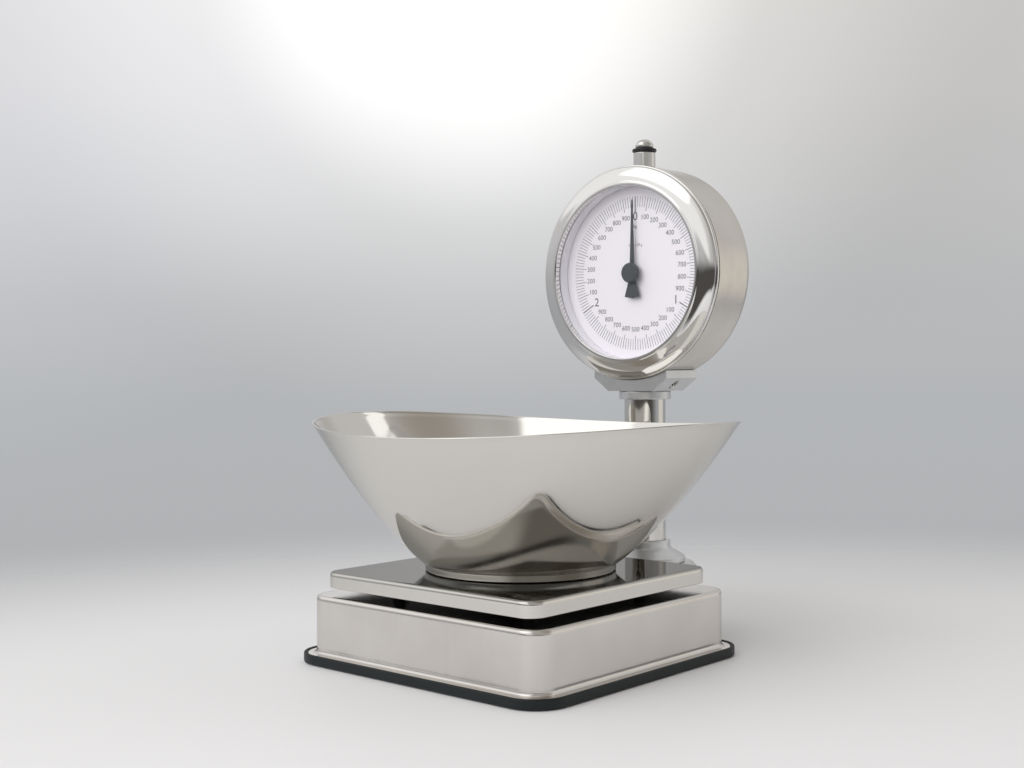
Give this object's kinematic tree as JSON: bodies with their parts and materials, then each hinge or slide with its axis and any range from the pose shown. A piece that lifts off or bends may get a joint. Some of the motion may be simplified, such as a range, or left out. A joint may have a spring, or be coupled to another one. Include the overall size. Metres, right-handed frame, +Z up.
{
  "type": "kitchen scale",
  "caption": "Mechanical kitchen scale with a square base, a removable oval bowl on a weighing platform, and a round dial head on a pillar.",
  "frame": {"origin": "centre of the bounding box's floor, on the surface the scale stands on", "axes": "+Z up, the dial faces -Y, +X to the right of a person reading the dial"},
  "size_m": [0.281, 0.28, 0.3326],
  "materials": {
    "polished_steel": "mirror polished",
    "satin_steel": "satin brushed",
    "chrome": "bright",
    "cast_silver": "satin",
    "zinc_steel": "zinc plated",
    "spring_steel": "oiled",
    "brass": "machined",
    "black_rubber": "matte",
    "black_plastic": "satin",
    "dark_paint": "matte",
    "grey_plastic": "satin",
    "dial_white": "semi matte",
    "clear_plastic": "clear"
  },
  "bodies": {
    "stand": {"base_shell": "polished_steel", "bezel": "polished_steel", "base_trim": "black_rubber", "rear_pad": "black_rubber", "base_plate": "zinc_steel", "front_bearing": "zinc_steel", "rear_bearing": "zinc_steel", "bearing_screw_1": "zinc_steel", "bearing_screw_2": "zinc_steel", "bearing_screw_3": "zinc_steel", "bearing_screw_4": "zinc_steel", "foot_cover": "zinc_steel", "foot_screw_left": "zinc_steel", "foot_screw_right": "zinc_steel", "clamp_screw_left": "zinc_steel", "drum_screw_left": "zinc_steel", "clamp_screw_right": "zinc_steel", "drum_screw_right": "zinc_steel", "cover_screw_1": "zinc_steel", "cover_screw_2": "zinc_steel", "cover_screw_3": "zinc_steel", "movement_plate": "zinc_steel", "rear_bridge": "zinc_steel", "pillar_foot": "cast_silver", "foot_collar": "cast_silver", "head_collar": "cast_silver", "head_bracket": "cast_silver", "pillar_tube": "chrome", "knob_collar": "chrome", "drum": "satin_steel", "rear_cover": "satin_steel", "lens": "clear_plastic", "spacer_ring": "dial_white", "dial_plate": "dial_white", "arbor_bush": "brass"},
    "platform": {"platform_tray": "polished_steel", "platform_frame": "dark_paint"},
    "bowl": {"bowl": "polished_steel"},
    "main_lever": {"main_lever": "zinc_steel", "main_fulcrum_rod": "zinc_steel", "main_load_rod": "zinc_steel"},
    "short_lever": {"short_lever": "zinc_steel", "short_fulcrum_pin_left": "zinc_steel", "short_load_pin_left": "zinc_steel", "short_fulcrum_pin_right": "zinc_steel", "short_load_pin_right": "zinc_steel"},
    "centre_link": {"centre_link": "zinc_steel"},
    "draw_rod": {"draw_rod": "zinc_steel", "rack": "brass", "spring_bar": "zinc_steel"},
    "pointer": {"pointer": "grey_plastic", "pointer_boss": "grey_plastic", "pointer_arbor": "zinc_steel", "pinion": "brass"},
    "zero_knob": {"knob_ring": "black_plastic", "knob_cap": "chrome", "zero_screw": "zinc_steel"},
    "spring_hanger": {"spring_hanger": "zinc_steel", "load_spring_left": "spring_steel", "load_spring_right": "spring_steel"}
  },
  "joints": [
    {"name": "draw_rod_slide", "type": "slide", "parent": "stand", "child": "draw_rod", "axis": [0, 0, -1], "range_m": [0, 0.02375], "stiffness_N_per_m": 162.6, "springref_m": -0.01362, "deforming": ["load_spring_left", "load_spring_right"]},
    {"name": "platform_slide", "type": "slide", "parent": "stand", "child": "platform", "axis": [0, 0, -1], "range_m": [0, 0.003]},
    {"name": "main_lever_hinge", "type": "hinge", "parent": "stand", "child": "main_lever", "pos_m": [0, -0.103, 0.0287], "axis": [-1, 0, 0], "range_deg": [0, 6.6]},
    {"name": "short_lever_hinge", "type": "hinge", "parent": "stand", "child": "short_lever", "pos_m": [0, 0.053, 0.0213], "axis": [1, 0, 0], "range_deg": [0, 6.6]},
    {"name": "centre_link_slide", "type": "slide", "parent": "stand", "child": "centre_link", "axis": [0, 0, -1], "range_m": [0, 0.009]},
    {"name": "pointer_hinge", "type": "hinge", "parent": "stand", "child": "pointer", "pos_m": [0, 0.105, 0.241], "axis": [0, 1, 0], "range_deg": [0, 378.5]},
    {"name": "bowl_lift", "type": "slide", "parent": "platform", "child": "bowl", "axis": [0, -0.7071, 0.7071], "range_m": [0, 0.16]},
    {"name": "zero_knob_hinge", "type": "hinge", "parent": "stand", "child": "zero_knob", "pos_m": [0, 0.105, 0.325], "axis": [0, 0, 1], "range_deg": [-360, 360]},
    {"name": "spring_hanger_slide", "type": "slide", "parent": "stand", "child": "spring_hanger", "axis": [0, 0, 1], "range_m": [-0.001, 0.001]}
  ],
  "couplings": [
    {"joint": "platform_slide", "follows": "draw_rod_slide", "ratio": 0.125},
    {"joint": "main_lever_hinge", "follows": "draw_rod_slide", "rad_per_m": 4.8077},
    {"joint": "short_lever_hinge", "follows": "draw_rod_slide", "rad_per_m": 4.8077},
    {"joint": "centre_link_slide", "follows": "draw_rod_slide", "ratio": 0.375},
    {"joint": "pointer_hinge", "follows": "draw_rod_slide", "rad_per_m": 277.78},
    {"joint": "spring_hanger_slide", "follows": "zero_knob_hinge", "m_per_rad": -0.00015915}
  ]
}
